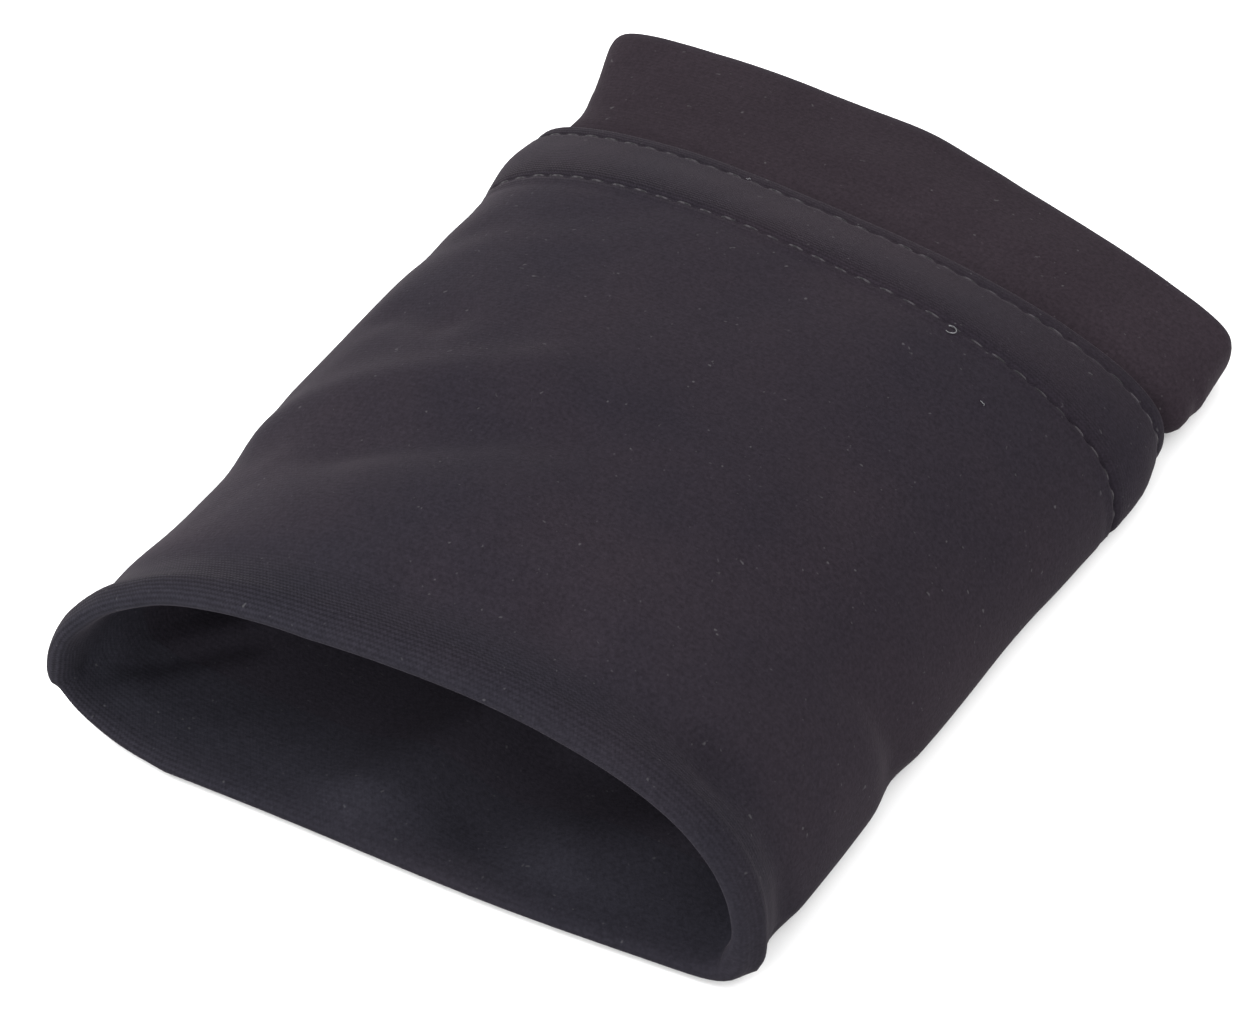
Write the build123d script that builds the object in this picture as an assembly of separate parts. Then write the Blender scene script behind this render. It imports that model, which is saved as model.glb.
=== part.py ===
from build123d import *
import math
import os

# Travel wallet worn on the forearm or calf: one tube of stretch knit, folded
# back into itself at the mouth and again at the far end, so that a flat
# pocket runs all round between its outer wall and its lining.
# Millimetres. X is across the sleeve, Y runs from the mouth to the far fold,
# Z is up, and the sleeve lies on z = 0 with its box centred on the origin.

# Driving dimensions
mouthY = -69.0            # front of the rolled lip, on the centre line
farFoldY = 69.2           # back of the far fold
lipDepth = 4.0            # front to back, rolled lip
foldDepth = 1.5           # front to back, far fold
hemEdgeY = 45.0           # hem edge of the outer wall
hemWidth = 20.0           # turned-in hem
edgeRowInset = 3.0        # hem edge to the edge row of stitches
casingWidth = 15.0        # between the two rows of stitches
elasticWidth = 12.0
cuffEdgeY = 20.0          # hidden edge of the far cuff, inside the pocket
bindingWidth = 2.4        # overlocked edge of the cuff
knit = 0.8                # thickness of the knit as it lies
elastic = 0.6             # thickness of the elastic band
layerGap = 0.3            # clear space between the cuff and the lining
lipCore = 1.6             # depth of the core behind the lip, below the outer face
hemCore = 2.9             # depth of the core under the hem
threadWidth = 0.5
stitchLength = 2.6
stitchPitch = 3.3
seamTape = (7.0, 13.0)    # low and high edge of the seam allowance on the left
seamThickness = 0.7

# Hinge line of the pocket front, and how its cut falls towards the hem
hingeY = -65.0
hingeZ = 37.0
cutAtHemZ = 4.0
cutGap = 0.3

# How the outline changes along Y: pairs of place and value.
leftSide = [(-69, -48.7), (-44, -47.8), (27, -49.0), (45, -49.6), (54, -47.8), (69, -51.7)]
rightSide = [(-69, 46.2), (-44, 46.3), (-27, 46.8), (1, 49.8), (27, 51.5), (45, 49.8), (69, 49.3)]
topHeight = [(-69, 37.5), (-59, 38.0), (-27, 35.0), (1, 31.0), (27, 27.0), (45, 18.4), (53, 16.0), (69, 12.5)]
leftBulge = [(-69, 9), (-40, 12), (1, 10), (45, 6), (69, 5)]
rightBulge = [(-69, 7), (-27, 6), (45, 5), (69, 5)]
leftKnee = [(-69, 14), (-44, 7), (1, 5), (69, 4)]
rightKnee = [(-69, 6), (-44, 4), (69, 3)]
leftShoulder = [(-69, 0.85), (-50, 1.0), (1, 0.95), (53, 0.90), (69, 0.78)]
rightShoulder = [(-69, 0.80), (-27, 0.88), (45, 0.85), (69, 0.78)]
skew = [(-69, 0.070), (-27, 0.0), (45, -0.07), (69, -0.06)]
sideRound = 0.65          # below the bulge: 1 is a straight slope, less is rounder
floorSink = 0.1           # the floor dips this much below z = 0 and is then cut flat
endSlip = 0.001           # an inner loft runs this much past the outer one
threadProud = 0.2         # thread stands this far out of the knit
underThread = 0.65        # depth of the thread on the underside, clear of the floor

cornerPoints = 8          # points on each rounded quarter of an outline
stations = [-69, -60, -46, -32, -18, -4, 8, 20, 30, 40, 46, 52, 58, 69.2]


def along(profile, y):
    """Value of a profile at y, on a smooth curve through its pairs."""
    places = [p for p, _ in profile]
    values = [v for _, v in profile]
    if y <= places[0]:
        return values[0]
    if y >= places[-1]:
        return values[-1]
    i = max(n for n in range(len(places) - 1) if places[n] <= y)
    span = places[i + 1] - places[i]
    rise = (values[i + 1] - values[i]) / span

    def slope(n):
        if n == 0 or n == len(places) - 1:
            return rise
        before = (values[n] - values[n - 1]) / (places[n] - places[n - 1])
        after = (values[n + 1] - values[n]) / (places[n + 1] - places[n])
        return 0.0 if before * after <= 0 else 2 * before * after / (before + after)

    t = (y - places[i]) / span
    return (values[i] * (2 * t**3 - 3 * t**2 + 1) + values[i + 1] * (3 * t**2 - 2 * t**3)
            + span * (slope(i) * (t**3 - 2 * t**2 + t) + slope(i + 1) * (t**3 - t**2)))


def coreDepth(y):
    """Depth of the core, which the cuff and the lining follow, below the outer face."""
    return along([(-69, lipCore), (10, hemCore), (47, hemCore), (58, 0.0)], y)


def core(extra):
    """Depth as a function of y, measured from the core."""
    return lambda y: coreDepth(y) + extra


def outlineAt(y, depth):
    """Closed outline (x, z) at y, moved inwards by depth: right bulge, top, left bulge, floor."""
    left = along(leftSide, y) + depth
    right = along(rightSide, y) - depth
    top = along(topHeight, y) - depth
    floor = depth - floorSink
    bulgeL = max(along(leftBulge, y), floor + 1)
    bulgeR = max(along(rightBulge, y), floor + 1)
    middle = (left + right) / 2
    half = (right - left) / 2
    kneeL = along(leftKnee, y)
    kneeR = along(rightKnee, y)
    roundL = along(leftShoulder, y)
    roundR = along(rightShoulder, y)
    turns = [math.pi / 2 * i / cornerPoints for i in range(cornerPoints)]
    outline = []
    for a in turns:
        outline.append((middle + half * math.cos(a)**roundR, bulgeR + (top - bulgeR) * math.sin(a)**roundR))
    for a in turns:
        outline.append((middle - half * math.sin(a)**roundL, bulgeL + (top - bulgeL) * math.cos(a)**roundL))
    for a in turns:
        down = 1 - math.sin(a)**sideRound
        outline.append((left + kneeL * (1 - math.cos(a)**sideRound), floor + (bulgeL - floor) * down))
    outline.append((left + kneeL, floor))
    for a in turns:
        up = 1 - math.cos(a)**sideRound
        outline.append((right - kneeR * (1 - math.sin(a)**sideRound), floor + (bulgeR - floor) * up))
    return outline


def ruledOutline(y, depth):
    """Outline at y on straight rulings between the stations, so that all layers nest."""
    y = min(max(y, stations[0]), stations[-1])
    after = max(1, next(n for n, place in enumerate(stations) if place >= y))
    low, high = stations[after - 1], stations[after]
    share = (y - low) / (high - low)
    pairs = zip(outlineAt(low, depth(low)), outlineAt(high, depth(high)))
    outline = [(xa + (xb - xa) * share, za + (zb - za) * share) for (xa, za), (xb, zb) in pairs]
    lean = along(skew, low) * (1 - share) + along(skew, high) * share
    return [(x, y + lean * x, z) for x, z in outline]


def lofted(places, depth, slip=0):
    """Solid through the outlines at these places, whose two ends may run on a little."""
    sections = []
    for y in places:
        run = slip * ((y == places[-1]) - (y == places[0]))
        outline = [(px, py + run, pz) for px, py, pz in ruledOutline(y, depth)]
        sections.append(Wire.make_polygon(outline))
    return Solid.make_loft(sections, ruled=True)


def tube(outer, inner, start, end):
    """Layer of fabric between two depths, which are functions of y, cut flat on the floor."""
    places = [start] + [y for y in stations if start < y < end] + [end]
    return (lofted(places, outer) - lofted(places, inner, endSlip)) & aboveFloor


def foldedEnd(outer, inner, tip, root):
    """End of a tube where the knit rolls over from the outer to the inner layer, rounded at its tip."""
    radius = (inner(tip) - outer(tip)) / 2
    way = 1 if root > tip else -1
    bands = []
    for degrees in (35, 55, 90):
        a = math.radians(degrees)
        start = tip + way * radius * (math.cos(math.radians(35)) - math.cos(a))
        roll = radius * (1 - math.sin(a))
        ends = sorted((start, root))
        bands.append(tube(lambda y: outer(y) + roll, lambda y: inner(y) - roll, *ends))
    return bands[0] + bands[1] + bands[2]


def stitchRow(y, above):
    """Row of separate stitches round the outer face at y, on one side of the pocket front's cut."""
    outline = ruledOutline(y, at(threadWidth / 2 - threadProud if above else underThread))
    loop = Wire.make_polygon(outline)
    kept = (loop & (frontSide if above else backSide)).edges()
    run = Wire(kept)
    count = round((run.length - stitchLength) / stitchPitch)
    stitches = []
    for i in range(count):
        where = (i + 0.5) / count
        stitch = Box(stitchLength, threadWidth, threadWidth)
        place = Plane(origin=run @ where, x_dir=run % where, z_dir=(0, 1, 0))
        stitches.append(place * stitch)
    return Compound(stitches)


def slantedBlock(offset, above):
    """Big block on one side of the pocket front's cut, moved off it by offset."""
    drop = math.atan2(hingeZ - cutAtHemZ, hemEdgeY - hingeY)
    cut = Plane(origin=(0, hingeY, hingeZ), x_dir=(1, 0, 0), z_dir=(0, math.sin(drop), math.cos(drop)))
    block = Box(400, 400, 100, align=(Align.CENTER, Align.CENTER, Align.MIN if above else Align.MAX))
    return cut * Pos(0, 0, offset if above else -offset) * block


aboveFloor = Box(400, 400, 200, align=(Align.CENTER, Align.CENTER, Align.MIN))
frontSide = slantedBlock(cutGap / 2, True)
backSide = slantedBlock(cutGap / 2, False)


def at(depth):
    """The same depth all along."""
    return lambda y: depth


# Depths of the layers, from the outer face inwards
liningOuter = knit + layerGap
liningInner = liningOuter + knit
elasticOuter = knit + 0.2
facingOuter = elasticOuter + elastic + 0.2
facingInner = facingOuter + 0.7

lipBackY = mouthY + lipDepth
foldFrontY = farFoldY - foldDepth
edgeRowY = hemEdgeY - edgeRowInset
casingRowY = edgeRowY - casingWidth
casingMiddleY = (edgeRowY + casingRowY) / 2
turnInY = hemEdgeY - hemWidth

nodes = {}

# One length of knit, as the layers that it makes: lip, lining and cuff
nodes["mouth_lip"] = foldedEnd(at(0), core(liningInner), mouthY, lipBackY)
nodes["inner_lining"] = tube(core(liningOuter), core(liningInner), lipBackY, foldFrontY)
cuffEnd = foldedEnd(core(0), core(liningInner), farFoldY, foldFrontY)
nodes["far_cuff"] = tube(core(0), core(knit), cuffEdgeY, foldFrontY) + cuffEnd
nodes["cuff_edge_overlock"] = tube(core(0), core(knit), cuffEdgeY - bindingWidth, cuffEdgeY)

# Seam allowance that closes the tube, flat against the lining on the left
tapeBox = Pos(-50, 0, (seamTape[0] + seamTape[1]) / 2) * Box(40, 400, seamTape[1] - seamTape[0])
nodes["side_seam"] = tube(core(0.1), core(0.1 + seamThickness), lipBackY + 2, cuffEdgeY - 4) & tapeBox

# Outer wall and hem, in two parts: the front lifts at the hem, the back lies on the floor
outerWall = tube(at(0), at(knit), lipBackY, hemEdgeY)
facing = (tube(at(facingOuter), at(facingInner), turnInY, hemEdgeY - knit)
          + tube(at(knit), at(facingInner), hemEdgeY - knit, hemEdgeY))
band = tube(at(elasticOuter), at(elasticOuter + elastic),
            casingMiddleY - elasticWidth / 2, casingMiddleY + elasticWidth / 2)
for side, part in (("front", frontSide), ("back", backSide)):
    nodes["outer_" + side] = outerWall & part
    nodes["hem_facing_" + side] = facing & part
    nodes["hem_elastic_" + side] = band & part
    nodes["hem_edge_stitches_" + side] = stitchRow(edgeRowY, side == "front")
    nodes["hem_casing_stitches_" + side] = stitchRow(casingRowY, side == "front")
# The rolled lip is in the way of the front's tip, so the front starts a little behind it
nodes["outer_front"] = nodes["outer_front"] - tube(at(-1), at(3), lipBackY - 1, lipBackY + cutGap)

os.makedirs("parts", exist_ok=True)
for name, shape in nodes.items():
    export_step(shape, f"parts/{name}.step")
    box = shape.bounding_box()
    print(f"{name}: {len(shape.solids())} solids, {shape.volume:.0f} mm3, "
          f"Y {box.min.Y:.2f} to {box.max.Y:.2f}, X {box.min.X:.2f} to {box.max.X:.2f}, "
          f"Z {box.min.Z:.2f} to {box.max.Z:.2f}")
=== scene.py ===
import bpy
import math
import numpy as np
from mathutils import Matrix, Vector, noise


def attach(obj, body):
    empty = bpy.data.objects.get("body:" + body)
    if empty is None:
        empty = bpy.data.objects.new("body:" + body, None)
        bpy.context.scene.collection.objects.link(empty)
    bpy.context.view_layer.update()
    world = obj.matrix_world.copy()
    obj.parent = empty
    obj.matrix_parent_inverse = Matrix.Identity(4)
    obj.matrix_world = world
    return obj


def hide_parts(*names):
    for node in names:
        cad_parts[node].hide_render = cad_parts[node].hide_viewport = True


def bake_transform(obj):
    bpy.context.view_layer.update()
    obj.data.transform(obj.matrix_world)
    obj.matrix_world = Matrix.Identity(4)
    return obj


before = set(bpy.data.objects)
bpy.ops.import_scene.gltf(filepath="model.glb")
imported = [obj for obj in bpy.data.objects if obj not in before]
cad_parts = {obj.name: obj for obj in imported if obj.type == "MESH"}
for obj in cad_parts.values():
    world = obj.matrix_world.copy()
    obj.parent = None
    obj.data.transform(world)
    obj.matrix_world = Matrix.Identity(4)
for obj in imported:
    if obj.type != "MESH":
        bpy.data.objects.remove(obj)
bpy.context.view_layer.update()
bpy.ops.object.select_all(action="DESELECT")
mm = 0.001

# One tube of stretch knit, folded back into itself at both ends.
# Everything below is in millimetres until a mesh is made.
tube = {
    "columns": 260,          # round the tube
    "perStitch": 4,          # of these to one stitch
    "mouthY": -69.0, "lipDepth": 4.0,
    "hemY": 45.0, "hemWidth": 20.0, "edgeRowY": 42.0, "casingRowY": 27.0,
    "farY": 69.2, "farDepth": 2.2, "cuffEdgeY": 20.0,
    "knit": 0.6,
    "left": [(-69, -50.3), (-58, -48.7), (-44, -46.5), (-32, -46.2), (-20, -47.8), (-8, -47.8),
             (5, -47.6), (20, -47.4), (27, -48.4), (37, -50.3), (45, -50.0), (54, -48.4), (69, -52.8)],
    "right": [(-69, 47.0), (-48, 47.8), (-37, 48.0), (-30, 47.2), (-23, 48.2), (1, 49.6), (17, 51.2),
              (35, 52.6), (45, 51.2), (48.5, 53.2), (54, 52.5), (69, 52.5)],
    "top": [(-69, 37.5), (-59, 38.0), (-27, 35.0), (1, 31.0), (27, 27.0), (45, 18.4), (53, 16.0),
            (69, 12.5)],
    "leftBulge": [(-69, 7), (-58, 10), (-40, 12), (1, 10), (45, 6), (69, 5)],
    "rightBulge": [(-69, 7), (-27, 6), (45, 5.5), (69, 7)],
    "leftKnee": [(-69, 12), (-44, 7), (1, 5), (69, 4)],
    "rightKnee": [(-69, 8), (-44, 4), (50, 4), (69, 9)],
    "leftRound": [(-69, 0.98), (-56, 1.14), (-38, 1.19), (-22, 1.10), (1, 1.0), (53, 0.90),
                  (69, 0.66)],
    "rightRound": [(-69, 0.80), (-27, 0.88), (45, 0.85), (69, 0.68)],
    "leftLow": [(-69, 1.25), (-52, 0.65)],                           # cut off straight at the mouth
    "rightLow": 0.65,
    "core": [(-69, 1.0), (-50, 1.3), (10, 2.2), (45.5, 2.2), (49.5, 1.1), (57, 0.0)],
    "lean": [(-69, 0.070), (-27, 0.0), (45, -0.07), (54, -0.05), (69, -0.03)],
    "push": [(-69, -0.5), (-58, 0.0), (50, 0.0), (69, 2.9)],         # along Y, all round
    "hemBow": [(5, 0.0), (45, 1.5), (58, 1.5), (69, 0.0)],           # right end towards the mouth
    "farBend": [(50, 0.0), (69, 0.230)],                             # far edge, right of its middle
    "lipBow": [(-69, 1.2), (-58, 0.0)],                              # middle of the lower lip, outwards
    "cornerBack": [(-69, 0.17), (-60, 0.0)],                         # lower left corner of the mouth
    "shoulderBack": [(-69, 2.2), (-50, 0.0)],                        # upper left of the mouth
}


def along(profile, y):
    places = [p for p, _ in profile]
    values = [v for _, v in profile]
    if y <= places[0]:
        return values[0]
    if y >= places[-1]:
        return values[-1]
    i = max(n for n in range(len(places) - 1) if places[n] <= y)
    span = places[i + 1] - places[i]
    rise = (values[i + 1] - values[i]) / span

    def slope(n):
        if n == 0 or n == len(places) - 1:
            return rise
        before = (values[n] - values[n - 1]) / (places[n] - places[n - 1])
        after = (values[n + 1] - values[n]) / (places[n + 1] - places[n])
        return 0.0 if before * after <= 0 else 2 * before * after / (before + after)

    t = (y - places[i]) / span
    return (values[i] * (2 * t**3 - 3 * t**2 + 1) + values[i + 1] * (3 * t**2 - 2 * t**3)
            + span * (slope(i) * (t**3 - 2 * t**2 + t) + slope(i + 1) * (t**3 - t**2)))


def ring(y, depth):
    # outline at y, moved inwards by depth
    # from the middle of the underside, up the right, over and down the left
    left = along(tube["left"], y) + depth
    right = along(tube["right"], y) - depth
    top = along(tube["top"], y) - depth
    floor = depth
    bulgeL = max(along(tube["leftBulge"], y), floor + 1)
    bulgeR = max(along(tube["rightBulge"], y), floor + 1)
    middle, half = (left + right) / 2, (right - left) / 2
    kneeL, kneeR = along(tube["leftKnee"], y), along(tube["rightKnee"], y)
    roundL, roundR = along(tube["leftRound"], y), along(tube["rightRound"], y)
    lowL, lowR = along(tube["leftLow"], y), tube["rightLow"]
    turn = np.linspace(0, math.pi / 2, 60)
    c, s = np.clip(np.cos(turn), 0, 1), np.clip(np.sin(turn), 0, 1)
    x = np.concatenate([[middle], right - kneeR * (1 - s**lowR), middle + half * c**roundR,
                        middle - half * s**roundL, left + kneeL * (1 - c**lowL), [middle]])
    z = np.concatenate([[floor], floor + (bulgeR - floor) * (1 - c**lowR),
                        bulgeR + (top - bulgeR) * s**roundR, bulgeL + (top - bulgeL) * c**roundL,
                        floor + (bulgeL - floor) * (1 - s**lowL), [floor]])
    way = np.concatenate([[0], np.cumsum(np.hypot(np.diff(x), np.diff(z)))])
    even = np.arange(tube["columns"]) / tube["columns"] * way[-1]
    points = np.stack([np.interp(even, way, x), np.interp(even, way, z)], 1)
    for _ in range(4):
        points = 0.5 * points + 0.25 * (np.roll(points, 1, 0) + np.roll(points, -1, 0))
    tangent = np.roll(points, -1, 0) - np.roll(points, 1, 0)
    tangent /= np.linalg.norm(tangent, axis=1)[:, None]
    return points[:, 0], points[:, 1], tangent[:, 1], -tangent[:, 0]


# Soft folds: a ridge (or, with a negative height, a valley) along a line seen from above.
folds = {
    "top": [
        {"start": (-42, -30), "end": (-12, -15), "height": 1.2, "width": 5.0},
        {"start": (-26, -36), "end": (-2, -25), "height": -1.4, "width": 5.0},
        {"start": (-38, -6), "end": (-30, -8), "height": -1.0, "width": 4.0},
        {"start": (-24, -49), "end": (-2, -40), "height": 0.9, "width": 8.0},
        {"start": (-3, -58), "end": (14, -54), "height": -1.5, "width": 4.5},
        {"start": (14, -54), "end": (38, -58), "height": -1.1, "width": 4.0},
        {"start": (38, -57), "end": (52, -50), "height": -0.9, "width": 4.0},
        {"start": (49, -30), "end": (42, -35), "height": -0.8, "width": 2.6},
        {"start": (-6, 6), "end": (12, 22), "height": -0.6, "width": 8.0},
        {"start": (20, -22), "end": (44, -30), "height": 0.5, "width": 9.0},
        {"start": (-20, 22), "end": (-44, 12), "height": -0.4, "width": 4.0},
        {"start": (0, 60), "end": (30, 56), "height": 0.5, "width": 6.0},
    ],
    "tunnel": [
        {"start": (-7, -66), "end": (0, -44), "height": 3.0, "width": 5.5},
        {"start": (7, -60), "end": (10, -48), "height": -1.3, "width": 5.0},
        {"start": (20, -58), "end": (30, -50), "height": 1.8, "width": 6.0},
        {"start": (-42, -62), "end": (-26, -34), "height": 1.6, "width": 6.0},
        {"start": (-47, -66), "end": (-33, -50), "height": -1.0, "width": 2.2},
    ],
}


def foldHeight(kind, x, y):
    total = np.zeros_like(x)
    for fold in folds[kind]:
        (ax, ay), (bx, by) = fold["start"], fold["end"]
        length = (bx - ax)**2 + (by - ay)**2
        t = np.clip(((x - ax) * (bx - ax) + (y - ay) * (by - ay)) / length, 0, 1)
        gap = np.hypot(x - ax - t * (bx - ax), y - ay - t * (by - ay))
        total += fold["height"] * np.exp(-(gap / fold["width"])**2)
    return total


# How far across the bends above reach, in X.
bends = {"halfWidth": 50, "farSoft": 9, "cornerX": -32, "lipX": 14, "lipReach": 26,
         "shoulderX": -10, "shoulderReach": 22}
slack = {"height": 0.28, "size": 17.0, "fineHeight": 0.07, "fineSize": 5.0}
hemPucker = {"groove": 0.29, "grooveWidth": 0.60, "needle": 0.18, "puff": 0.08, "pull": 0.2,
             "pullWidth": 1.2, "pullBack": 2.2, "shallower": 0.15, "drawnRight": 0.9,
             "drawnX": 30, "drawnReach": 15}
lipShape = {"full": 0.5, "fullWidth": 1.6, "crest": 0.6, "crestY": -66.0, "dip": 0.5, "dipWidth": 3.0,
            "dipY": -60.0, "square": 0.75, "rightX": 2, "rightReach": 30, "narrower": 0.35}
leftCrease = {"height": 5.0, "width": 1.3, "deep": 0.5, "insideDeep": 0.9, "brow": 0.5,
              "browHeight": 10.5, "back": -50.0, "insideBack": -42.0}
rightTuck = {"height": 5.0, "width": 3.2, "deep": 1.3, "back": -59.0}


def slackNoise(x, y, z, size):
    return np.array([noise.noise(Vector((a / size, b / size * 0.6, c / size)))
                     for a, b, c in zip(x, y, z)])


def layRow(y, depth, kind):
    # one row of cloth points round the tube, with its outward directions
    # kind is outer, hidden, tunnel or cuff
    x, z, nx, nz = ring(y, depth)
    bow = along(tube["hemBow"], y) * (np.maximum(x, 0) / bends["halfWidth"])**2
    bow += along(tube["farBend"], y) * (np.sqrt(x * x + bends["farSoft"]) + x) / 2
    below = np.clip(0.5 - nz, 0, 1)
    corner = along(tube["cornerBack"], y) * np.maximum(bends["cornerX"] - x, 0) * below
    bow += along(tube["lipBow"], y) * np.exp(-((x - bends["lipX"]) / bends["lipReach"])**2) * below
    shoulder = np.clip((bends["shoulderX"] - x) / bends["shoulderReach"], 0, 1)
    bow -= along(tube["shoulderBack"], y) * shoulder * np.clip(nz + 0.3, 0, 1)
    yy = y + along(tube["lean"], y) * x - bow + along(tube["push"], y) + corner
    upward = np.clip((nz + 0.2) / 0.6, 0, 1)
    loose = np.clip((nz + 0.85) / 0.4, 0, 1)
    move = loose * slack["height"] * slackNoise(x, yy, z, slack["size"])
    move += loose * slack["fineHeight"] * slackNoise(x + 90, yy, z, slack["fineSize"])
    move += upward * foldHeight("top", x, yy) * np.clip((y + 68) / 6, 0.25, 1)
    if kind == "outer":
        k = np.arange(tube["columns"]) % tube["perStitch"]
        for rowY in (tube["edgeRowY"], tube["casingRowY"]):
            across = math.exp(-((y - rowY) / hemPucker["grooveWidth"])**2)
            toRight = np.clip((x - hemPucker["drawnX"]) / hemPucker["drawnReach"], 0, 1)
            drawn = 1 + hemPucker["drawnRight"] * toRight * (rowY == tube["casingRowY"])
            underStitch = k == tube["perStitch"] // 2
            move -= hemPucker["groove"] * across * drawn * (1 - hemPucker["shallower"] * underStitch)
            move -= hemPucker["needle"] * across * (k == 0)
        if tube["casingRowY"] < y < tube["edgeRowY"]:
            between = (y - tube["casingRowY"]) / (tube["edgeRowY"] - tube["casingRowY"])
            move += hemPucker["puff"] * math.sin(math.pi * between)**0.6 * loose
        pullGap = (y - tube["casingRowY"] + hemPucker["pullBack"]) / hemPucker["pullWidth"]
        move -= hemPucker["pull"] * math.exp(-pullGap**2) * loose
        # towards the right the lip stands up in a clearer crest, with a hollow behind it
        rightward = np.clip((x - lipShape["rightX"]) / lipShape["rightReach"], 0, 1)
        crestWidth = lipShape["fullWidth"] * (1 - lipShape["narrower"] * rightward)
        crest = lipShape["full"] * (1 + lipShape["crest"] * rightward)
        move += crest * np.exp(-((y - lipShape["crestY"]) / crestWidth)**2) * loose
        dipGap = (y - lipShape["dipY"]) / lipShape["dipWidth"]
        move -= lipShape["dip"] * (1 + rightward) * math.exp(-dipGap**2) * loose
    if kind == "tunnel":
        inside = np.clip((-nz + 0.3) / 0.6, 0, 1) * np.clip((y + 69) / 6, 0, 1)
        move -= inside * foldHeight("tunnel", x, yy)
        tuck = np.clip(nx - 0.2, 0, 1) * np.clip((rightTuck["back"] - y) / 6, 0, 1)
        move -= rightTuck["deep"] * tuck * np.exp(-((z - rightTuck["height"]) / rightTuck["width"])**2)
    creaseBack = leftCrease["insideBack"] if kind == "tunnel" else leftCrease["back"]
    if y < creaseBack:
        left = np.clip(-nx - 0.2, 0, 1) * min(1, (creaseBack - y) / 8)
        deep = leftCrease["deep"]
        if kind == "tunnel":
            deep += (leftCrease["insideDeep"] - deep) * min(1, max(0, (y + 67) / 4))
        notch = deep * np.exp(-((z - leftCrease["height"]) / leftCrease["width"])**2)
        brow = leftCrease["brow"] * np.exp(-((z - leftCrease["browHeight"]) / 3)**2)
        move += left * ((notch - brow) if kind == "tunnel" else -notch)
    x = x + nx * move
    z = np.maximum(z + nz * move, tube["knit"] / 2 + 0.02)
    points = np.stack([x, yy, z], 1)
    outward = np.stack([nx, np.zeros_like(nx), nz], 1)
    return points, outward


def layRows(path):
    laid = [layRow(*step) for step in path]
    return np.array([p for p, _ in laid]), np.array([n for _, n in laid])


def clothMesh(name, points, width, length, closed=True):
    # rows and columns of points become one cloth, with its own map of the flat cut
    rows, columns = points.shape[:2]
    steps = columns if closed else columns - 1
    faces = []
    for r in range(rows - 1):
        for k in range(steps):
            n = (k + 1) % columns
            faces.append((r * columns + k, r * columns + n, (r + 1) * columns + n, (r + 1) * columns + k))
    mesh = bpy.data.meshes.new(name)
    mesh.from_pydata((points.reshape(-1, 3) * mm).tolist(), [], faces)
    flat = mesh.uv_layers.new(name="flatCut")
    gaps = np.linalg.norm(np.diff(points, axis=0), axis=2).mean(1)
    way = np.concatenate([[0], np.cumsum(gaps)])
    way *= length / way[-1]
    corners = []
    for r in range(rows - 1):
        for k in range(steps):
            u0, u1 = width * k / steps, width * (k + 1) / steps
            corners += [u0, way[r], u1, way[r], u1, way[r + 1], u0, way[r + 1]]
    flat.data.foreach_set("uv", np.array(corners))
    cloth = bpy.data.objects.new(name, mesh)
    bpy.context.collection.objects.link(cloth)
    return cloth


def useOnly(piece):
    bpy.ops.object.select_all(action="DESELECT")
    piece.select_set(True)
    bpy.context.view_layer.objects.active = piece


def thicken(cloth, thickness):
    useOnly(cloth)
    solid = cloth.modifiers.new("thickness", "SOLIDIFY")
    solid.thickness = thickness * mm
    solid.offset = 0
    solid.use_even_offset = False
    bpy.ops.object.modifier_apply(modifier=solid.name)
    bpy.ops.object.mode_set(mode="EDIT")
    bpy.ops.mesh.select_all(action="SELECT")
    bpy.ops.mesh.normals_make_consistent(inside=False)
    bpy.ops.object.mode_set(mode="OBJECT")
    bpy.ops.object.shade_smooth_by_angle(angle=math.radians(70))
    cloth.select_set(False)


# Materials, all made from nodes.

def newMaterial(name):
    material = bpy.data.materials.new(name)
    material.use_nodes = True
    return material, material.node_tree.nodes, material.node_tree.links


def mathNode(nodes, links, operation, first, second=None):
    node = nodes.new("ShaderNodeMath")
    node.operation = operation
    for i, value in enumerate((first, second)):
        if value is None:
            continue
        if isinstance(value, (int, float)):
            node.inputs[i].default_value = value
        else:
            links.new(value, node.inputs[i])
    return node.outputs[0]


def noiseNode(nodes, links, where, scale, detail=4.0, rough=0.6):
    node = nodes.new("ShaderNodeTexNoise")
    node.inputs["Scale"].default_value = scale
    node.inputs["Detail"].default_value = detail
    node.inputs["Roughness"].default_value = rough
    links.new(where, node.inputs["Vector"])
    return node.outputs["Fac"]


def rampNode(nodes, links, value, stops):
    node = nodes.new("ShaderNodeValToRGB")
    ramp = node.color_ramp
    while len(ramp.elements) < len(stops):
        ramp.elements.new(0.5)
    for element, (place, colour) in zip(ramp.elements, stops):
        element.position = place
        element.color = colour
    links.new(value, node.inputs["Fac"])
    return node.outputs["Color"]


def grey(value):
    return (value, value, value, 1)


def mixNode(nodes, links, blend, factor, first, second):
    node = nodes.new("ShaderNodeMix")
    node.data_type = "RGBA"
    node.blend_type = blend
    for name, value in (("Factor", factor), ("A", first), ("B", second)):
        socket = next(i for i in node.inputs if i.name == name and i.enabled)
        if isinstance(value, (float, tuple)):
            socket.default_value = value
        else:
            links.new(value, socket)
    return next(o for o in node.outputs if o.enabled)


# Scales of the noises in the knit.
knitNoise = {"wander": 260, "fuzz": 2600, "cloud": 28, "grain": 1900, "speck": 1100, "rough": 90}


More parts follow.
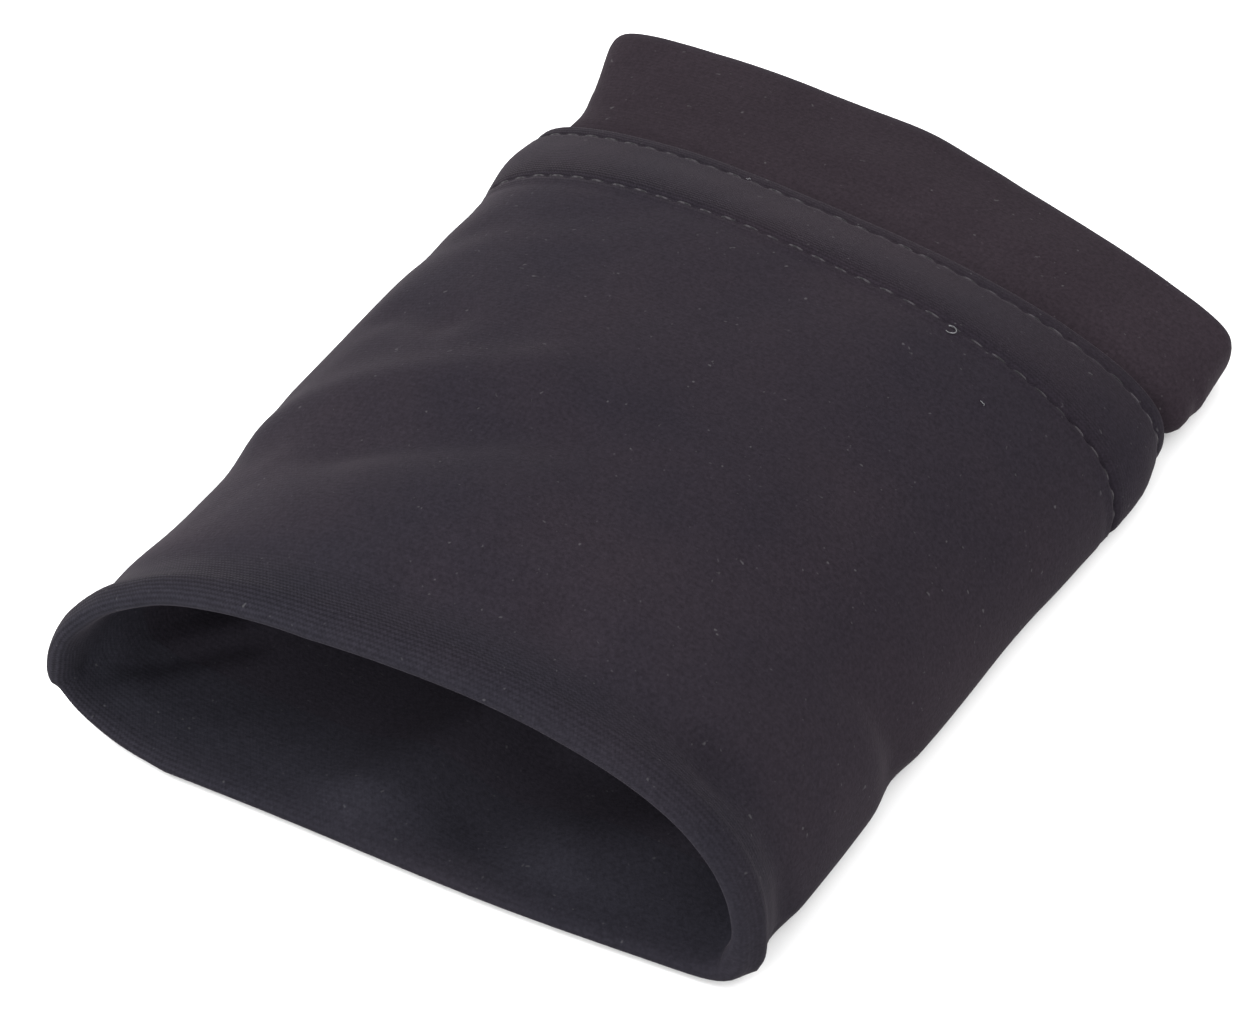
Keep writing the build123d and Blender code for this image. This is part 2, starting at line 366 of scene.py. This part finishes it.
def knitMaterial(name, look):
    material, nodes, links = newMaterial(name)
    shader = nodes["Principled BSDF"]
    cut = nodes.new("ShaderNodeUVMap")
    cut.uv_map = "flatCut"
    place = nodes.new("ShaderNodeTexCoord").outputs["Object"]
    scaled = nodes.new("ShaderNodeMapping")
    scaled.inputs["Scale"].default_value = (1 / look["wale"] / mm, 1 / look["course"] / mm, 1)
    links.new(cut.outputs["UV"], scaled.inputs["Vector"])
    wander = noiseNode(nodes, links, place, knitNoise["wander"], 3.0)
    split = nodes.new("ShaderNodeSeparateXYZ")
    links.new(scaled.outputs["Vector"], split.inputs["Vector"])
    # each course is a row of small Vs: the wale bends it up and down
    vee = mathNode(nodes, links, "PINGPONG", split.outputs["X"], 0.5)
    bent = mathNode(nodes, links, "MULTIPLY_ADD", vee, 0.7)
    links.new(split.outputs["Y"], bent.node.inputs[2])
    drift = mathNode(nodes, links, "MULTIPLY_ADD", wander, 0.5)
    links.new(bent, drift.node.inputs[2])
    course = mathNode(nodes, links, "SINE", mathNode(nodes, links, "MULTIPLY", drift, 2 * math.pi))
    wale = mathNode(nodes, links, "SINE",
                    mathNode(nodes, links, "MULTIPLY", split.outputs["X"], 2 * math.pi))
    courseHeight = mathNode(nodes, links, "MULTIPLY_ADD", course, 0.5)
    courseHeight.node.inputs[2].default_value = 0.5
    waleHeight = mathNode(nodes, links, "MULTIPLY_ADD", wale, look["waleShare"])
    waleHeight.node.inputs[2].default_value = 1 - look["waleShare"]
    loops = mathNode(nodes, links, "MULTIPLY", courseHeight, waleHeight)
    # the courses show most where the cloth is stretched over the lip and drawn up by the stitches; the
    # same ramps also set how strong the painted shade between the loops is
    flatCut = nodes.new("ShaderNodeSeparateXYZ")
    links.new(cut.outputs["UV"], flatCut.inputs["Vector"])
    share = mathNode(nodes, links, "MULTIPLY", flatCut.outputs["Y"], 1 / look["length"])
    linesAlong = rampNode(nodes, links, share, [(p, grey(v)) for p, v in look["lines"]])
    turnShare = mathNode(nodes, links, "MULTIPLY", flatCut.outputs["X"], 1 / look["width"])
    around = rampNode(nodes, links, turnShare, [(p, grey(v)) for p, v in look["around"]])
    lines = mathNode(nodes, links, "MULTIPLY", linesAlong, around)
    fuzz = noiseNode(nodes, links, place, knitNoise["fuzz"], 2.0)
    height = mathNode(nodes, links, "MULTIPLY_ADD", fuzz, look["fuzz"])
    links.new(mathNode(nodes, links, "MULTIPLY", loops, lines), height.node.inputs[2])
    bump = nodes.new("ShaderNodeBump")
    bump.inputs["Strength"].default_value = look["bump"]
    bump.inputs["Distance"].default_value = 0.12 * mm
    links.new(height, bump.inputs["Height"])
    links.new(bump.outputs["Normal"], shader.inputs["Normal"])
    # colour: soft random tone over the cloth, a paler colour inside the tunnel as painted light, painted
    # shade along the cut, painted light and shade round the tube, painted shade darker between the loops,
    # paler specks of fluff
    cloud = noiseNode(nodes, links, place, knitNoise["cloud"], 3.0)
    base = rampNode(nodes, links, cloud, [(0.3, (*look["deep"], 1)), (0.7, (*look["pale"], 1))])
    # painted light: inside the tunnel the colour turns to a paler, bluer one, standing in for light that
    # the tunnel keeps out
    inside = rampNode(nodes, links, share, [(p, grey(v)) for p, v in look["inside"]])
    paintedLightInside = mixNode(nodes, links, "MIX", inside, base, (*look["paintedLightInsideColour"], 1))
    grain = rampNode(nodes, links, noiseNode(nodes, links, place, knitNoise["grain"], 3.0),
                     [(0.3, grey(1 - look["grain"])), (0.7, grey(1.0))])
    # painted shade along the cut: darker over the hem band, on the wall and deeper into the tunnel, bluish
    # towards the lip
    paintedShadeAlong = rampNode(nodes, links, share, [(p, (*c, 1)) for p, c in look["paintedShadeAlong"]])
    # painted light and shade round the tube: darker towards the upper right, lighter towards the upper
    # left
    paintedLightAround = rampNode(nodes, links, turnShare, [(p, (*c, 1)) for p, c in look["paintedLightAround"]])
    withPaintedShadeAlong = mixNode(nodes, links, "MULTIPLY", 1.0, paintedLightInside, paintedShadeAlong)
    shaded = mixNode(nodes, links, "MULTIPLY", 1.0, withPaintedShadeAlong, paintedLightAround)
    grained = mixNode(nodes, links, "MULTIPLY", 1.0, shaded, grain)
    # painted shade: darker between the loops, more so where the lines ramps are high
    between = rampNode(nodes, links, loops, [(0.0, grey(1 - look["contrast"])), (0.75, grey(1.0))])
    lined = mixNode(nodes, links, "MULTIPLY", lines, grained, between)
    speck = rampNode(nodes, links, noiseNode(nodes, links, place, knitNoise["speck"], 1.0),
                     [(0.735, grey(0.0)), (0.81, grey(look["speck"]))])
    links.new(mixNode(nodes, links, "ADD", 1.0, lined, speck), shader.inputs["Base Color"])
    rough = nodes.new("ShaderNodeMapRange")
    rough.inputs["To Min"].default_value = look["rough"] - 0.08
    rough.inputs["To Max"].default_value = look["rough"] + 0.08
    links.new(noiseNode(nodes, links, place, knitNoise["rough"]), rough.inputs["Value"])
    links.new(rough.outputs["Result"], shader.inputs["Roughness"])
    shader.inputs["Specular IOR Level"].default_value = look["specular"]
    shader.inputs["Sheen Weight"].default_value = look["sheen"]
    shader.inputs["Sheen Roughness"].default_value = look["sheenRough"]
    shader.inputs["Sheen Tint"].default_value = (*look["sheenTint"], 1)
    return material


def threadMaterial(name, look):
    material, nodes, links = newMaterial(name)
    shader = nodes["Principled BSDF"]
    place = nodes.new("ShaderNodeTexCoord").outputs["Object"]
    twist = nodes.new("ShaderNodeTexWave")
    twist.bands_direction = "DIAGONAL"
    twist.inputs["Scale"].default_value = 420
    twist.inputs["Distortion"].default_value = 1.0
    links.new(place, twist.inputs["Vector"])
    colour = rampNode(nodes, links, twist.outputs["Fac"],
                      [(0.2, (*look["deep"], 1)), (0.8, (*look["pale"], 1))])
    links.new(colour, shader.inputs["Base Color"])
    bump = nodes.new("ShaderNodeBump")
    bump.inputs["Strength"].default_value = 0.5
    bump.inputs["Distance"].default_value = 0.06 * mm
    links.new(twist.outputs["Fac"], bump.inputs["Height"])
    links.new(bump.outputs["Normal"], shader.inputs["Normal"])
    rough = nodes.new("ShaderNodeMapRange")
    rough.inputs["To Min"].default_value = look["rough"] - 0.1
    rough.inputs["To Max"].default_value = look["rough"] + 0.1
    links.new(noiseNode(nodes, links, place, 900), rough.inputs["Value"])
    links.new(rough.outputs["Result"], shader.inputs["Roughness"])
    shader.inputs["Sheen Weight"].default_value = look["sheen"]
    shader.inputs["Specular IOR Level"].default_value = look["specular"]
    return material


outerLook = {
    "wale": 0.46, "course": 0.60, "waleShare": 0.12,
    "fuzz": 0.7, "bump": 0.6, "contrast": 0.7, "grain": 0.35,
    "deep": (0.0150, 0.0128, 0.0175), "pale": (0.0205, 0.0160, 0.0205), "speck": 0.025,
    # painted light: the first colour on the next line is the paler one laid on the cloth inside the tunnel
    "paintedLightInsideColour": (0.0245, 0.0220, 0.0290), "length": 0.155, "width": 0.212,
    # how strong the course lines are along the cut and round the tube, in the bump and in the painted
    # shade between the loops
    "lines": [(0, 0.4), (0.155, 0.5), (0.19, 0.22), (0.23, 0.3), (0.25, 0.9), (0.28, 0.12), (0.82, 0.12),
              (0.87, 0.9), (0.92, 0.25), (1, 0.12)],
    "around": [(0, 0.4), (0.25, 0.3), (0.42, 0.5), (0.62, 0.9), (0.78, 1.4), (0.9, 0.8), (1, 0.4)],
    "inside": [(0.88, 0.0), (0.94, 1.0)],
    # painted shade along the cut: darker over the hem band and a little on the wall, bluish towards the
    # lip
    "paintedShadeAlong": [(0, (1, 1, 1)), (0.12, (1, 1, 1)), (0.15, (0.93, 0.93, 0.94)), (0.25, (0.95, 0.94, 0.96)),
                 (0.3, (1, 1, 1)), (0.6, (0.95, 0.95, 0.96)), (0.8, (0.96, 0.99, 1.0)),
                 (0.86, (0.93, 1.02, 1.03)), (1, (0.95, 1.0, 1.0))],
    # painted light and shade round the tube: darker towards the upper right, lighter towards the upper
    # left and the left flank
    "paintedLightAround": [(0, (1, 1, 1)), (0.3, (0.94, 0.94, 0.95)), (0.5, (0.97, 0.97, 0.98)),
                  (0.68, (1.06, 1.09, 1.08)), (1, (1, 1, 1))],
    "rough": 0.86, "specular": 0.03, "sheen": 0.035, "sheenRough": 0.30, "sheenTint": (1.0, 0.84, 0.94),
}
plainShade = [(0, (1, 1, 1)), (1, (1, 1, 1))]
# lining: the paler inside colour all over as painted light, and painted shade darker deeper into the
# tunnel
liningLook = dict(outerLook, length=0.115, width=0.206,
                  lines=[(0, 0.12), (1, 0.12)], inside=[(0, 1.0), (1, 1.0)],
                  paintedShadeAlong=[(0, (1, 1, 1)), (0.12, (0.86, 0.86, 0.86)), (1, (0.7, 0.7, 0.7))],
                  paintedLightAround=plainShade)
# cuff: the paler inside colour as painted light where it starts inside the tunnel, and painted light
# towards its right
cuffLook = dict(outerLook, length=0.060, width=0.206,
                lines=[(0, 0.12), (1, 0.12)], inside=[(0.10, 1.0), (0.20, 0.0)],
                deep=(0.0165, 0.0123, 0.0158), pale=(0.0215, 0.0162, 0.0205), paintedShadeAlong=plainShade,
                paintedLightAround=[(0, (1, 1, 1)), (0.18, (1.25, 1.25, 1.25)), (0.36, (1, 1, 1)), (1, (1, 1, 1))])
threadLook = {"deep": (0.011, 0.0100, 0.012), "pale": (0.032, 0.0285, 0.033), "rough": 0.8, "sheen": 0.03,
              "specular": 0.15}
outerKnit = knitMaterial("outerKnit", outerLook)
liningKnit = knitMaterial("liningKnit", liningLook)
cuffKnit = knitMaterial("cuffKnit", cuffLook)
thread = threadMaterial("thread", threadLook)
print("materials made")


def bendWithFront(piece):
    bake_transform(piece)


def finishPiece(piece, material, nodes):
    piece.data.materials.clear()
    piece.data.materials.append(material)
    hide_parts(*nodes)


# Flat width and length of each cut piece, in metres.
cutSize = {"outerWall": (0.212, 0.155), "lining": (0.206, 0.115), "farCuff": (0.206, 0.060),
           "hemElastic": (0.200, 0.012), "sideSeam": (0.006, 0.078)}

# Outer wall: hidden facing, hem fold, wall, rolled lip and the first of the lining.
outerDepth, facingDepth, liningShift = 0.4, 1.75, 1.5
rowCounts = {"facing": 12, "hemTurn": 7, "lipTurn": 18, "mouthJoin": 8, "lining": 84, "farJoin": 7,
             "farTurn": 12, "cuff": 46, "elastic": 13, "seam": 53}


def coreDepth(y):
    return along(tube["core"], y)


def wallPlaces():
    y, places = tube["hemY"] - 0.9, []
    while y > tube["mouthY"] + tube["lipDepth"]:
        places.append(y)
        near = min(abs(y - tube["edgeRowY"]), abs(y - tube["casingRowY"]))
        y -= 0.35 if near < 1.2 else 0.7 if near < 3.5 or y < -54 else 1.5
    return places


def half(y, near, far, reach, count, square=1.0):
    # half turn of a fold at y, from depth near to depth far, reaching out by reach
    turns = [math.pi * (i + 0.5) / count for i in range(count)]
    middle, radius = (near + far) / 2, (far - near) / 2
    return [(y + reach * math.sin(a)**square,
             middle - radius * math.copysign(abs(math.cos(a))**square, math.cos(a)))
            for a in turns]


facingPath = [(tube["hemY"] - tube["hemWidth"] + i * 1.6, facingDepth, "hidden")
              for i in range(rowCounts["facing"])]
hemPath = [(y, d, "hidden")
           for y, d in half(tube["hemY"] - 0.9, facingDepth, outerDepth, 0.6, rowCounts["hemTurn"])]
wallPath = [(y, outerDepth, "outer") for y in wallPlaces()]
lipBackY = tube["mouthY"] + tube["lipDepth"]
lipInner = coreDepth(lipBackY) + liningShift
lipTurn = half(lipBackY, outerDepth, lipInner, -tube["lipDepth"] + 0.3, rowCounts["lipTurn"],
               lipShape["square"])
lipPath = [(y, d, "outer" if i < rowCounts["lipTurn"] // 2 else "tunnel")
           for i, (y, d) in enumerate(lipTurn)]
mouthJoinY = -55.0
innerPath = [(y, coreDepth(y) + liningShift, "tunnel")
             for y in np.linspace(lipBackY, mouthJoinY, rowCounts["mouthJoin"])]
outerPoints, outerNormals = layRows(facingPath + hemPath + wallPath + lipPath + innerPath)
outerWall = clothMesh("outerWall", outerPoints, *cutSize["outerWall"])
thicken(outerWall, tube["knit"])
finishPiece(outerWall, outerKnit,
            ["outer_front", "outer_back", "hem_facing_front", "hem_facing_back", "mouth_lip"])
bendWithFront(outerWall)
print("outer wall made", len(outerWall.data.polygons))

# Lining, from just inside the mouth to just before the far fold.
farJoinY = 60.0
liningPath = [(y, coreDepth(y) + liningShift, "tunnel")
              for y in np.linspace(mouthJoinY, farJoinY, rowCounts["lining"])]
liningPoints, _ = layRows(liningPath)
lining = clothMesh("lining", liningPoints, *cutSize["lining"])
thicken(lining, tube["knit"])
finishPiece(lining, liningKnit, ["inner_lining"])
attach(lining, "sleeve")
print("lining made")

# Far fold and cuff.
foldY = tube["farY"] - tube["farDepth"] - 0.3
cuffShift = 0.4
farPath = [(y, coreDepth(y) + liningShift, "tunnel")
           for y in np.linspace(farJoinY, foldY, rowCounts["farJoin"])]
turnPath = [(y, d, "cuff")
            for y, d in half(foldY, liningShift, cuffShift, tube["farDepth"], rowCounts["farTurn"])]
cuffPath = [(y, coreDepth(y) + cuffShift, "cuff")
            for y in np.linspace(foldY, tube["cuffEdgeY"], rowCounts["cuff"])]
cuffPoints, _ = layRows(farPath + turnPath + cuffPath)
farCuff = clothMesh("farCuff", cuffPoints, *cutSize["farCuff"])
thicken(farCuff, tube["knit"])
finishPiece(farCuff, cuffKnit, ["far_cuff"])
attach(farCuff, "sleeve")
print("cuff made")

# Elastic in the hem.
elasticBand = {"depth": 1.07, "thickness": 0.4, "low": 28.5, "high": 40.5}
elasticPath = [(y, elasticBand["depth"], "hidden")
               for y in np.linspace(elasticBand["low"], elasticBand["high"], rowCounts["elastic"])]
elasticPoints, _ = layRows(elasticPath)
hemElastic = clothMesh("hemElastic", elasticPoints, *cutSize["hemElastic"])
thicken(hemElastic, elasticBand["thickness"])
elasticLook = dict(outerLook, wale=0.8, course=1.2, waleShare=0.6, bump=0.8, length=0.012, width=0.200,
                   lines=[(0, 0.9), (1, 0.9)], inside=[(0, 0.0), (1, 0.0)],
                   paintedShadeAlong=plainShade, paintedLightAround=plainShade,
                   deep=(0.008, 0.008, 0.009), pale=(0.013, 0.013, 0.014))
finishPiece(hemElastic, knitMaterial("elastic", elasticLook),
            ["hem_elastic_front", "hem_elastic_back"])
bendWithFront(hemElastic)
print("elastic made")


# Two rows of stitches round the hem.
def stitchTemplate(length, radius, sink):
    # one stitch along X at the origin, its two ends turned down into the cloth
    bpy.ops.object.select_all(action="DESELECT")
    bpy.ops.mesh.primitive_cylinder_add(vertices=6, radius=radius, depth=length, end_fill_type="TRIFAN",
                                        rotation=(0, math.pi / 2, 0))
    stitch = bpy.context.active_object
    bpy.ops.object.transform_apply(location=False, rotation=True, scale=False)
    bpy.ops.object.mode_set(mode="EDIT")
    for place in (-0.40, -0.22, 0, 0.22, 0.40):
        bpy.ops.mesh.select_all(action="SELECT")
        bpy.ops.mesh.bisect(plane_co=(place * length, 0, 0), plane_no=(1, 0, 0))
    bpy.ops.object.mode_set(mode="OBJECT")
    for v in stitch.data.vertices:
        end = abs(v.co.x) / (length / 2)
        slim = 1 - 0.35 * end**4
        v.co.y *= slim
        v.co.z = v.co.z * slim - sink * end**8
    return stitch


def wrapStitches(name, template, points, normals, everyNth, start, lift, jitter):
    # copies of one stitch laid round a row of cloth points; X of the template runs along the row
    columns = len(points)
    whole = np.arange(columns + 1)
    loopPoints = np.concatenate([points, points[:1]])
    loopNormals = np.concatenate([normals, normals[:1]])
    way = np.concatenate([[0], np.cumsum(np.linalg.norm(np.diff(loopPoints, axis=0), axis=1))])
    shape = np.array([v.co for v in template.data.vertices])
    copies = []
    count = columns // everyNth
    for i in range(count):
        middle = np.interp(start + i * everyNth, whole, way)
        wobble = jitter * noise.noise(Vector((i * 3.7, 1.5, 0)))
        s = (middle + shape[:, 0]) % way[-1]
        column = np.interp(s, way, whole)
        where = np.stack([np.interp(column, whole, loopPoints[:, a]) for a in range(3)], 1)
        out = np.stack([np.interp(column, whole, loopNormals[:, a]) for a in range(3)], 1)
        out /= np.linalg.norm(out, axis=1)[:, None]
        where = where + out * (shape[:, 2:3] + lift) + np.array([0, 1, 0]) * (shape[:, 1:2] + wobble)
        where[:, 2] = np.maximum(where[:, 2], 0.03)
        mesh = template.data.copy()
        mesh.vertices.foreach_set("co", (where * mm).ravel())
        copy = bpy.data.objects.new(f"{name}{i}", mesh)
        bpy.context.collection.objects.link(copy)
        copies.append(copy)
    bpy.ops.object.select_all(action="DESELECT")
    for copy in copies:
        copy.select_set(True)
    bpy.context.view_layer.objects.active = copies[0]
    bpy.ops.object.join()
    row = bpy.context.active_object
    row.name = row.data.name = name
    bpy.ops.object.shade_smooth()
    row.select_set(False)
    return row


stitchLook = {"length": 2.8, "radius": 0.24, "sink": 0.50, "lift": 0.21, "jitter": 0.25}   # mm
stitchShape = stitchTemplate(stitchLook["length"], stitchLook["radius"], stitchLook["sink"])
for rowName, rowY, rowNodes in (
        ("hemEdgeStitches", tube["edgeRowY"], ["hem_edge_stitches_front", "hem_edge_stitches_back"]),
        ("hemCasingStitches", tube["casingRowY"],
         ["hem_casing_stitches_front", "hem_casing_stitches_back"])):
    rowPoints, rowNormals = layRow(rowY, outerDepth, "outer")
    row = wrapStitches(rowName, stitchShape, rowPoints, rowNormals, tube["perStitch"],
                       tube["perStitch"] // 2, stitchLook["lift"], stitchLook["jitter"])
    finishPiece(row, thread, rowNodes)
    bendWithFront(row)
bpy.data.objects.remove(stitchShape)
print("hem stitches made")


# Overlocked edge of the cuff, hidden in the pocket.
def loopTemplate(reach, thick, radius):
    # one thread loop round a cloth edge: it goes over, round the edge and back under
    bpy.ops.object.select_all(action="DESELECT")
    bpy.ops.mesh.primitive_torus_add(major_segments=8, minor_segments=4, major_radius=1, minor_radius=0.1,
                                     rotation=(0, math.pi / 2, 0))
    loop = bpy.context.active_object
    bpy.ops.object.transform_apply(location=False, rotation=True, scale=False)
    for v in loop.data.vertices:
        centre = Vector((0, v.co.y, v.co.z)).normalized()
        offset = v.co - centre
        middle = Vector((centre.y * 0.45, centre.y * reach / 2, centre.z * thick / 2))
        v.co = middle + offset * (radius / 0.1)
    return loop


overlockLook = {"reach": 2.4, "thick": 1.0, "radius": 0.13, "every": 2, "jitter": 0.1,
                "back": 0.9}
loopShape = loopTemplate(overlockLook["reach"], overlockLook["thick"], overlockLook["radius"])
edgePoints, edgeNormals = layRow(tube["cuffEdgeY"] + overlockLook["back"],
                                 coreDepth(tube["cuffEdgeY"]) + cuffShift, "cuff")
cuffOverlock = wrapStitches("cuffOverlock", loopShape, edgePoints, edgeNormals,
                            overlockLook["every"], start=0, lift=0, jitter=overlockLook["jitter"])
bpy.data.objects.remove(loopShape)
finishPiece(cuffOverlock, thread, ["cuff_edge_overlock"])
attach(cuffOverlock, "sleeve")

# Seam allowance on the left, inside the pocket.
seamStrip = {"low": 7.0, "high": 13.0, "start": -62.5, "end": 15.5, "depth": 0.45, "thickness": 0.6,
             "columns": 7}
stripRows = []
for y in np.linspace(seamStrip["start"], seamStrip["end"], rowCounts["seam"]):
    points, _ = layRow(y, coreDepth(y) + seamStrip["depth"], "hidden")
    # the left side of this row, from low to high
    side = points[points[:, 0] < -20][::-1]
    rising = side[np.argsort(side[:, 2], kind="stable")]
    rising = rising[(rising[:, 2] > 4) & (rising[:, 0] < np.median(points[:, 0]) - 30)]
    heights = np.linspace(seamStrip["low"], seamStrip["high"], seamStrip["columns"])
    stripRows.append(np.stack([np.interp(heights, rising[:, 2], rising[:, a]) for a in range(3)], 1))
stripPoints = np.array(stripRows)
sideSeam = clothMesh("sideSeam", stripPoints, *cutSize["sideSeam"], closed=False)
thicken(sideSeam, seamStrip["thickness"])
finishPiece(sideSeam, liningKnit, ["side_seam"])
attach(sideSeam, "sleeve")
print("cuff edge and side seam made")


# Lint on the cloth.
lint = [
    {"at": (26.3, 24.2), "size": 0.7, "turn": 5.0, "radius": 0.07},
    {"at": (35.4, 14.7), "size": 0.6, "turn": 1.6, "radius": 0.05},
    {"at": (-13.6, 42.5), "size": 0.45, "turn": 1.5, "radius": 0.05},
]


fluff = {"points": 9, "lift": 0.42, "curl": 0.12}


def fluffPiece(i, piece):
    top = outerNormals[:, :, 2] > 0.4
    away = np.hypot(outerPoints[:, :, 0] - piece["at"][0], outerPoints[:, :, 1] - piece["at"][1])
    gap = np.where(top, away, 999)
    r, k = np.unravel_index(gap.argmin(), gap.shape)
    base, out = outerPoints[r, k], outerNormals[r, k]
    path = []
    for n in range(fluff["points"]):
        a = piece["turn"] * (n / (fluff["points"] - 1) - 0.5) + i
        path.append((base[0] + piece["size"] * math.cos(a), base[1] + piece["size"] * math.sin(a),
                     base[2] + out[2] * fluff["lift"] + fluff["curl"] * math.sin(n)))
    curve = bpy.data.curves.new(f"lint{i}", "CURVE")
    curve.dimensions = "3D"
    spline = curve.splines.new("NURBS")
    spline.points.add(len(path) - 1)
    for point, co in zip(spline.points, path):
        point.co = (*(Vector(co) * mm), 1)
    spline.order_u = 3
    spline.use_endpoint_u = True
    curve.bevel_depth = piece["radius"] * mm
    curve.bevel_resolution = 1
    curve.use_fill_caps = True
    fibre = bpy.data.objects.new(f"lint{i}", curve)
    bpy.context.collection.objects.link(fibre)
    useOnly(fibre)
    bpy.ops.object.convert(target="MESH")
    return bpy.context.active_object


lintLook = {"deep": (0.08, 0.08, 0.085), "pale": (0.16, 0.16, 0.17), "rough": 0.8, "sheen": 0.1,
            "specular": 0.15}
lintMaterial = threadMaterial("lint", lintLook)
for i, piece in enumerate(lint):
    fibre = fluffPiece(i, piece)
    fibre.data.materials.append(lintMaterial)
    bendWithFront(fibre)
print("lint made")

# Floor, light and camera.
studio = {"floor": 0.9, "world": 1.5, "aim": (0, 0, 0.01), "lamps": [
    ("softKey", (-0.55, -0.15, 0.55), 0.5, 6.0),
    ("frontFill", (-0.10, -0.70, 0.42), 0.5, 3.2),
    ("rightFill", (0.55, 0.25, 0.50), 0.5, 2.6),
]}
bpy.ops.object.select_all(action="DESELECT")
bpy.ops.mesh.primitive_plane_add(size=12, location=(0, 0, 0))
floor = bpy.context.active_object
floor.name = "floor"
paper, nodes, links = newMaterial("paper")
paperNoise = noiseNode(nodes, links, nodes.new("ShaderNodeTexCoord").outputs["Object"], 40)
paperTone = rampNode(nodes, links, paperNoise,
                     [(0.3, grey(studio["floor"] - 0.01)), (0.7, grey(studio["floor"]))])
links.new(paperTone, nodes["Principled BSDF"].inputs["Base Color"])
nodes["Principled BSDF"].inputs["Roughness"].default_value = 0.9
nodes["Principled BSDF"].inputs["Specular IOR Level"].default_value = 0.1
floor.data.materials.append(paper)

world = bpy.data.worlds.new("studio")
world.use_nodes = True
world.node_tree.nodes["Background"].inputs["Color"].default_value = (1, 1, 1, 1)
world.node_tree.nodes["Background"].inputs["Strength"].default_value = studio["world"]
bpy.context.scene.world = world

for name, place, size, power in studio["lamps"]:
    lamp = bpy.data.lights.new(name, "AREA")
    lamp.energy = power
    lamp.size = size
    lampObject = bpy.data.objects.new(name, lamp)
    lampObject.location = place
    lampObject.rotation_mode = "QUATERNION"
    towards = Vector(studio["aim"]) - Vector(place)
    lampObject.rotation_quaternion = towards.to_track_quat("-Z", "Y")
    bpy.context.collection.objects.link(lampObject)

shot = {"target": (-0.00225, -0.0089, 0.008), "azimuth": 30, "elevation": 45,
        "distance": 0.560, "lens": 125, "sensor": 36}
azimuth, elevation = math.radians(shot["azimuth"]), math.radians(shot["elevation"])
back = Vector((math.sin(azimuth) * math.cos(elevation), -math.cos(azimuth) * math.cos(elevation),
               math.sin(elevation)))
camera = bpy.data.objects.new("camera", bpy.data.cameras.new("camera"))
camera.data.lens = shot["lens"]
camera.data.sensor_width = shot["sensor"]
camera.data.clip_start = 0.01
camera.location = Vector(shot["target"]) + back * shot["distance"]
camera.rotation_mode = "QUATERNION"
camera.rotation_quaternion = (-back).to_track_quat("-Z", "Y")
bpy.context.collection.objects.link(camera)
bpy.context.scene.camera = camera
bpy.context.scene.view_settings.view_transform = "Standard"
print("studio ready")
